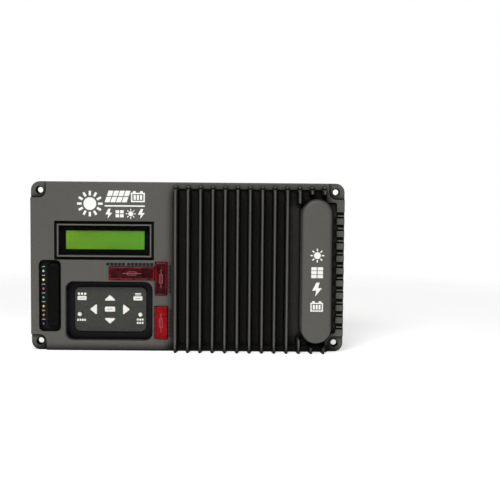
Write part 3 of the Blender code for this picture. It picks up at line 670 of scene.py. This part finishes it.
def battery(x, z, width, height, front):
    """A case outline with two poles and three charge bars."""
    outer = dash(x, z, width, height)
    solids = [ring(outer, inset(outer, width * 0.1), front - INK, front)]
    pole_height = height * 0.17
    for side in (-1, 1):
        pole = dash(x + side * width * 0.26, z + (height + pole_height) / 2, width * 0.2, pole_height)
        solids.append(printed(pole, front))
    return solids + dashes(x, z, front, (3, 1), (width * 0.23, 0), (width * 0.16, height * 0.52))


EMBLEM_ROW_Z = 139.4  # the symbols under the line


def emblem(looks):
    """White print over the display: a sun, a panel and a battery, and symbols under a line."""
    front = PANEL_Y
    solids = sun(-98.6, 149.4, 12.9, front, rays=12)
    solids += panel_grid(-70.6, 156.8, 23.0, 12.6, front, 4, 2, lean=0.35)
    solids += battery(-50.2, 156.0, 14.0, 9.5, front)
    solids.append(printed(dash(-63.4, 147.3, 40.4, 1.4), front))
    solids += bolt(-79.6, EMBLEM_ROW_Z, 10.0, front)
    solids += panel_grid(-68.6, EMBLEM_ROW_Z, 9.0, 8.0, front, 2, 2, gap=0.1)
    solids += sun(-57.4, EMBLEM_ROW_Z, 5.0, front)
    solids += bolt(-46.8, EMBLEM_ROW_Z, 10.0, front)
    piece("front_emblem", solids, looks["white_print"], "case")


POD_X = 130.6  # the middle of the pod


def pod_marks(looks):
    """Four bold white symbols down the pod."""
    front = extent("front_casting")[2]
    solids = sun(POD_X, 99.7, 6.9, front)
    solids += panel_grid(POD_X, 82.6, 12.6, 11.6, front, 2, 3)
    solids += bolt(POD_X, 65.6, 14.0, front)
    solids += battery(POD_X, 47.8, 12.6, 9.0, front)
    piece("pod_marks", solids, looks["white_print"], "case")


def keypad_marks(looks):
    """White dashes beside the four corner keys, in place of words."""
    front = extent("keypad_plate")[2]
    solids = []
    x, top = middle_of("key_upper_left")[0], extent("key_upper_left")[5]
    solids += dashes(x, top + 1.3, front, (3, 1), (3.2, 0), (2.2, 2.2), 0.4)
    x, top = middle_of("key_upper_right")[0], extent("key_upper_right")[5]
    solids += dashes(x, top + 1.2, front, (1, 2), (0, 1.4), (6.4, 0.8))
    x, foot = middle_of("key_lower_left")[0], extent("key_lower_left")[4]
    solids += dashes(x + 1.8, foot - 2.9, front, (4, 1), (2.4, 0), (1.6, 2.2), 0.3)
    x, foot = middle_of("key_lower_right")[0], extent("key_lower_right")[4]
    solids += dashes(x - 0.2, foot - 3.9, front, (3, 2), (2.5, 3.4), (1.8, 2.0), 0.3)
    piece("keypad_marks", solids, looks["white_print"], "case")


def key_marks(looks):
    """A small grey dash on the middle key and on the two upper ones."""
    for key, width in (("key_enter", 5.6), ("key_upper_left", 5.2), ("key_upper_right", 5.2)):
        front = extent(key)[2]
        mark = slab(dash(*middle_of(key), width, 0.7, 0.2), front - KEY_INK, front)
        piece(f"{key}_mark", [mark], looks["grey_print"], key)


def light_ticks(looks):
    """A short pale dash over each status light."""
    front = extent("led_holder")[2]
    solids = []
    for number in range(1, len(LIGHTS) + 1):
        x, top = middle_of(f"led_{number}")[0], extent(f"led_{number}")[5]
        solids.append(printed(dash(x, top + 2.6, 3.2, 1.0, 0.2), front))
    piece("light_ticks", solids, looks["grey_print"], "case")


def legend_lines(looks):
    """Dark dashes over the first fuse cover and beside the others, in place of words."""
    front = PANEL_Y
    low_x, _, _, _, _, high_z = extent("fuse_cover_1")
    z = high_z + 2.65
    solids = []
    for count, x in ((5, low_x + 6.4), (7, low_x + 31.3)):
        solids += dashes(x, z, front, (count, 1), (3.9, 0), (3.2, 2.9), 0.5)
    for cover in ("fuse_cover_2", "fuse_cover_3"):
        _, high_x, _, _, low_z, _ = extent(cover)
        solids += dashes(high_x + 3.3, low_z + 16.25, front, (1, 7), (0, 4.2), (2.2, 3.3), 0.5)
    piece("legend_lines", solids, looks["dark_print"], "case")


# ---- Finer pieces in place of plain ones ----

COVER_CORNER = 1.6
COVER_ROUND, COVER_ROUND_STEPS = 0.9, 6
COVER_WALL = 1.4
COVER_RIM = 1.5  # from the cover's outline to its sunk face
FACE_DEPTH = 0.35
SYMBOL_RISE = 0.12  # how far the fuse symbol stands off the sunk face
FUSE_HALF_LENGTH, FUSE_HALF_WIDTH, FUSE_CORNER, FUSE_LINE = 4.6, 1.9, 0.5, 0.5
LEAD_END, LEAD_HALF_WIDTH = 9.5, 0.3


def symbol_bar(x, z, start, end, half, lying, radius=0.0):
    """A bar from start to end, along X where it is lying and along Z where it stands."""
    if lying:
        return bar(x + start, x + end, z - half, z + half, radius)
    return bar(x - half, x + half, z + start, z + end, radius)


def fuse_cover(number, looks, rim_look, face_look):
    """A hollow cover with a rounded rim round a slightly sunk face, and a raised fuse symbol."""
    node = f"fuse_cover_{number}"
    x0, x1, front, back, z0, z1 = extent(node)
    outline = bar(x0, x1, z0, z1, COVER_CORNER)
    inner = inset(outline, COVER_WALL)
    rings = [(inner, back), (outline, back)]
    for step in range(COVER_ROUND_STEPS + 1):
        turn = math.pi / 2 * step / COVER_ROUND_STEPS
        inward, short = COVER_ROUND * (1 - math.cos(turn)), COVER_ROUND * (1 - math.sin(turn))
        rings.append((inset(outline, inward), front + short))
    rings += [
        (inset(outline, COVER_RIM - 0.2), front + 0.02),
        (inset(outline, COVER_RIM), front + 0.2),
        (inset(outline, COVER_RIM + 0.05), front + COVER_WALL),
        (inner, front + COVER_WALL + 0.2),
    ]
    cover = piece(node + "_shell", [loft(rings, closed=True)], looks[rim_look], node)
    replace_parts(cover, node)
    sunk = front + FACE_DEPTH
    face = slab(inset(outline, COVER_RIM), sunk, front + COVER_WALL - 0.1, 0.15)
    piece(node + "_face", [face], looks[face_look], node)
    x, z = middle_of(node)
    lying = x1 - x0 > z1 - z0
    half = FUSE_HALF_LENGTH
    case = symbol_bar(x, z, -half, half, FUSE_HALF_WIDTH, lying, FUSE_CORNER)
    solids = [ring(case, inset(case, FUSE_LINE), sunk - SYMBOL_RISE, sunk)]
    wire = half - FUSE_LINE
    for start, end in ((-LEAD_END, -half), (half, LEAD_END), (-wire, wire)):
        line = symbol_bar(x, z, start, end, LEAD_HALF_WIDTH, lying)
        solids.append(slab(line, sunk - SYMBOL_RISE, sunk))
    piece(node + "_symbol", solids, looks["ruby_symbol"], node)


DOME_HEIGHT, DOME_STEPS = 1.7, 7
DOME_SHARE = 0.93  # of the collar's radius
DOME_TIP = 0.12
COLLAR_DROP = 0.5  # from the dome's foot to the collar's front


def status_light(number, look):
    """A round-nosed lens with a collar."""
    node = f"led_{number}"
    x0, x1, front, back, _, _ = extent(node)
    x, z = middle_of(node)
    radius = (x1 - x0) / 2
    rings = [(disc(x, z, radius), back), (disc(x, z, radius), front + DOME_HEIGHT + COLLAR_DROP)]
    for step in range(DOME_STEPS):
        turn = math.pi / 2 * step / DOME_STEPS
        level = disc(x, z, radius * DOME_SHARE * math.cos(turn))
        rings.append((level, front + DOME_HEIGHT * (1 - math.sin(turn))))
    rings.append((disc(x, z, DOME_TIP), front))
    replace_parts(piece(node + "_lens", [loft(rings)], look, "case"), node)


BEAD_REACH = 1.75  # from the lens's edge to the outer side of the line
BEAD_WIDTH = 0.9


def display_bead(looks):
    """The pale line along the crest of the bead round the display: a painted highlight."""
    x0, x1, _, _, z0, z1 = extent("lcd_lens")
    crest = inset(bar(x0, x1, z0, z1), -BEAD_REACH)
    # painted highlight along the bead's crest
    line = ring(crest, inset(crest, BEAD_WIDTH), PANEL_Y - INK, PANEL_Y)
    piece("display_bead", [line], looks["bead_painted_highlight"], "case")


RIB_PITCH, RIB_HEIGHT = 3.05, 0.9
RIB_RISE, RIB_ROOT = 0.35, 0.2  # above and below the insert's front
RIB_END, RIB_SIDE = 5.0, 2.0  # from the insert's foot to the first rib's middle, and from its sides
RIB_MARGIN = 9.0  # how much shorter than the insert the ribbed field is, at least


def insert_ribs(looks):
    """Fine cross ribs on the insert beside the lights."""
    x0, x1, front, _, z0, z1 = extent("status_insert")
    count = int((z1 - z0 - RIB_MARGIN) / RIB_PITCH) + 1
    solids = []
    for index in range(count):
        z = z0 + RIB_END + index * RIB_PITCH
        rib = bar(x0 + RIB_SIDE, x1 - RIB_SIDE, z - RIB_HEIGHT / 2, z + RIB_HEIGHT / 2)
        solids.append(slab(rib, front - RIB_RISE, front + RIB_ROOT, edge=0.15, steps=2))
    piece("insert_ribs", solids, looks["insert_black"], "case")


FLOOR_RADIUS, FLOOR_FADE_START, FLOOR_SIDES = 0.9, 0.3, 64
FLOOR_GAP = 0.0002  # under the unit, so that the two faces don't fight


def floor():
    """A pale round floor under the unit, which fades out into the white studio."""
    mesh = bpy.data.meshes.new("floor")
    turns = [2 * math.pi * i / FLOOR_SIDES for i in range(FLOOR_SIDES)]
    edge = [(FLOOR_RADIUS * math.cos(t), FLOOR_RADIUS * math.sin(t), 0) for t in turns]
    mesh.from_pydata(edge, [], [list(range(FLOOR_SIDES))])
    look = Look("floor_paper", (0.88, 0.88, 0.88), 0.8, Specular_IOR_Level=0.1)
    look.mottle(400, 0.01)
    look.feed((1, 1, 1), look.shader.inputs["Emission Color"])
    look.feed(0.55, look.shader.inputs["Emission Strength"])
    fade = look.spread(look.length(look.place), 1.0, 0.0, FLOOR_FADE_START, FLOOR_RADIUS)
    look.feed(fade, look.shader.inputs["Alpha"])
    mesh.materials.append(look.material)
    obj = bpy.data.objects.new("floor", mesh)
    bpy.context.scene.collection.objects.link(obj)
    obj.location.z = -FLOOR_GAP


def main():
    camera()
    studio()
    looks = all_looks()
    dress_nodes(looks)
    floor()
    emblem(looks)
    pod_marks(looks)
    keypad_marks(looks)
    key_marks(looks)
    light_ticks(looks)
    legend_lines(looks)
    display_bead(looks)
    insert_ribs(looks)
    # the rims of the first two covers are brighter than their faces: a painted glow
    fuse_cover(1, looks, "ruby_rim_painted_glow", "ruby_dark")
    fuse_cover(2, looks, "ruby_rim_painted_glow", "ruby_dark")
    fuse_cover(3, looks, "ruby_bright", "ruby_bright")
    for number, name in enumerate(LIGHTS, 1):
        status_light(number, looks[f"light_{name}"])


main()
